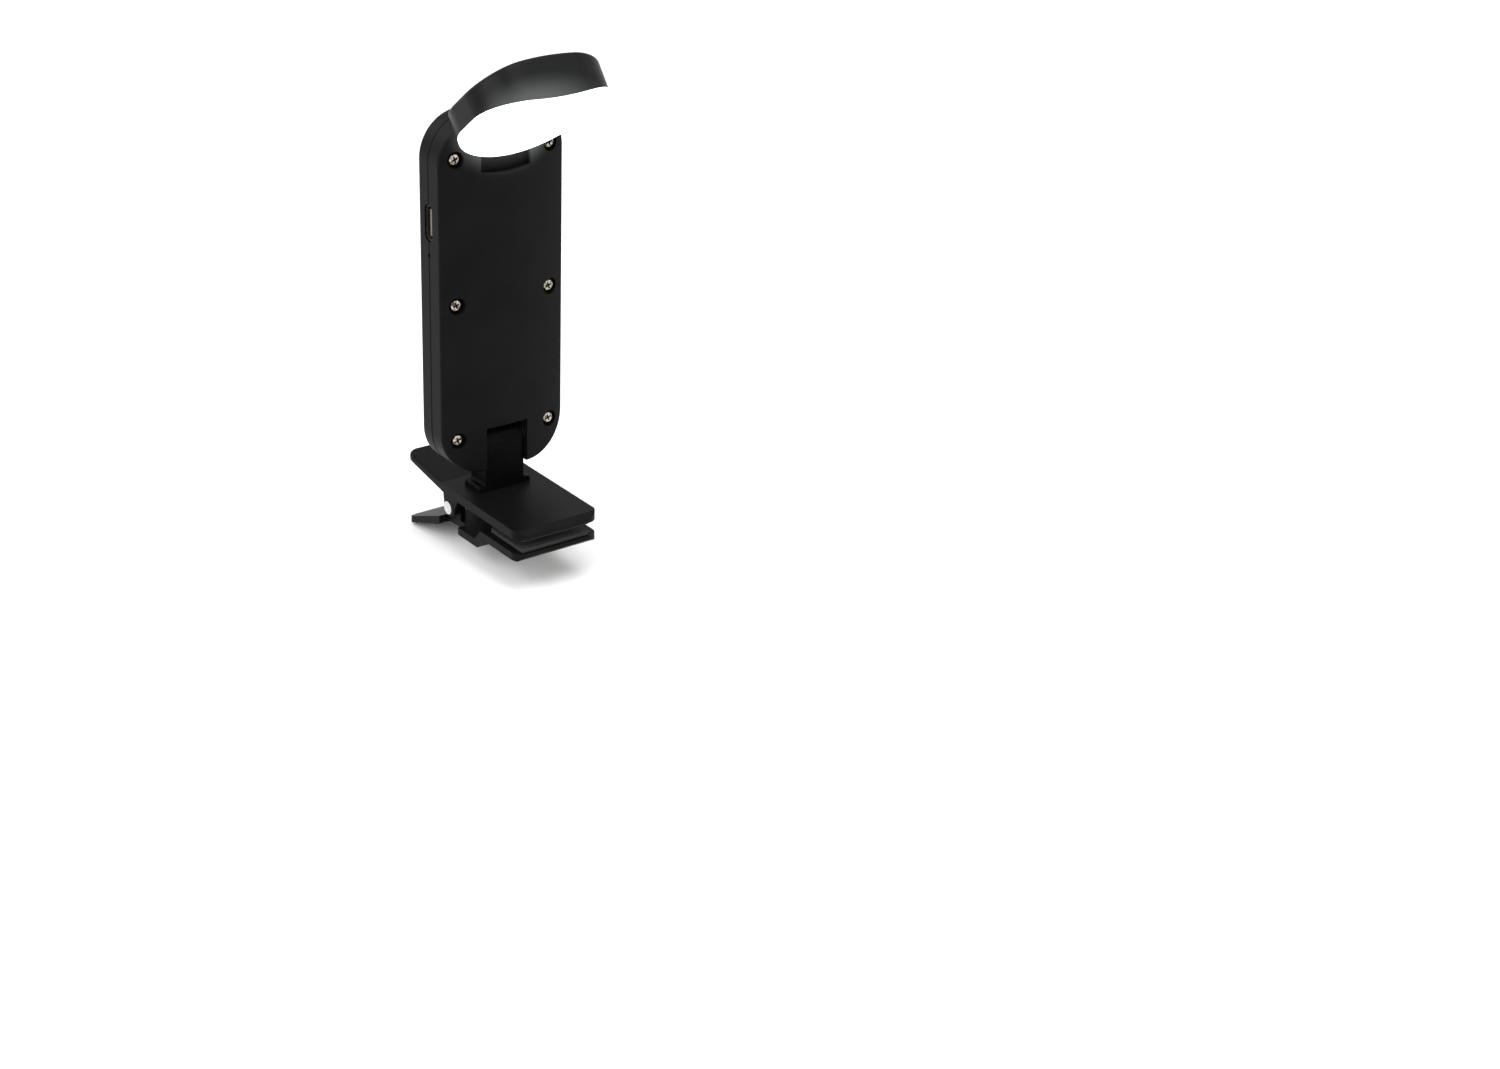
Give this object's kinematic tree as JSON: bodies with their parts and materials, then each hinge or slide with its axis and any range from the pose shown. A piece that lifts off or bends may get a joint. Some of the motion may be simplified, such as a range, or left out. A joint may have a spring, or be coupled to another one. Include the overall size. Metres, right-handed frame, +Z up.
{
  "type": "clip-on book light",
  "caption": "Flat upright battery book light with a tilting glowing head on top and a folding clip at its foot.",
  "frame": {"origin": "middle of the upper pad's gripping face, which rests on the page or cover it is clipped to", "axes": "+X to the right, +Y to the back, +Z up; the screwed face of the body looks to -Y"},
  "size_m": [0.0358, 0.0536, 0.1335],
  "materials": {
    "body_plastic": "fine matt texture",
    "head_plastic": "satin",
    "arm_plastic": "satin",
    "jaw_plastic": "fine matt texture",
    "pad_rubber": "matt",
    "screw_nickel": "nickel plated",
    "lens_white": "milky, lit from behind",
    "white_plastic": "smooth",
    "white_board": "solder mask",
    "led_yellow": "phosphor",
    "steel": "turned",
    "spring_steel": "drawn wire",
    "cell_foil": "satin foil",
    "foam_tape": "foam",
    "lead_red": "insulation",
    "lead_black": "insulation",
    "green_board": "solder mask",
    "chip_black": "moulded",
    "socket_steel": "rolled sheet",
    "tongue_beige": "moulded",
    "clear_plastic": "frosted",
    "led_white": "smooth",
    "switch_black": "moulded",
    "button_plastic": "satin"
  },
  "bodies": {
    "clip": {"upper_jaw": "jaw_plastic", "clip_arm": "arm_plastic", "arm_screws": "screw_nickel", "upper_pad": "pad_rubber", "jaw_pin": "steel", "jaw_spring": "spring_steel"},
    "lower_jaw": {"lower_jaw": "jaw_plastic", "lower_pad": "pad_rubber"},
    "lamp": {"front_cover": "body_plastic", "rear_cover": "body_plastic", "cover_screws": "screw_nickel", "arm_hinge_pin": "steel", "arm_hinge_washers": "steel", "battery_cell": "cell_foil", "battery_pad": "foam_tape", "battery_leads": "lead_red", "main_board": "green_board", "board_chips": "chip_black", "usb_socket": "socket_steel", "usb_tongue": "tongue_beige", "charge_light_pipe": "clear_plastic", "charge_led": "led_white", "tact_switch": "switch_black", "head_hinge_pin": "steel", "head_hinge_washers": "steel", "body_leads": "lead_black"},
    "head": {"head_shell": "head_plastic", "head_frame": "head_plastic", "diffuser": "lens_white", "light_guide_frame": "white_plastic", "led_board": "white_board", "led_chips": "led_yellow", "head_leads": "lead_black"},
    "button": {"power_button": "button_plastic", "switch_plunger": "switch_black"}
  },
  "joints": [
    {"name": "jaw_open", "type": "hinge", "parent": "clip", "child": "lower_jaw", "pos_m": [0, 0.024, -0.00265], "axis": [1, 0, 0], "range_deg": [-3.2, 25], "stiffness_Nm_per_rad": 0.15, "deforming": ["jaw_spring"]},
    {"name": "body_fold", "type": "hinge", "parent": "clip", "child": "lamp", "pos_m": [0, 0.0194, 0.016], "axis": [1, 0, 0], "range_deg": [0, 90]},
    {"name": "head_tilt", "type": "hinge", "parent": "lamp", "child": "head", "pos_m": [0, 0.0216, 0.0937], "axis": [1, 0, 0], "range_deg": [-32, 10]},
    {"name": "button_press", "type": "slide", "parent": "lamp", "child": "button", "axis": [0, -1, 0], "range_m": [0, 0.0003], "stiffness_N_per_m": 4000, "springref_m": -0.0002}
  ]
}
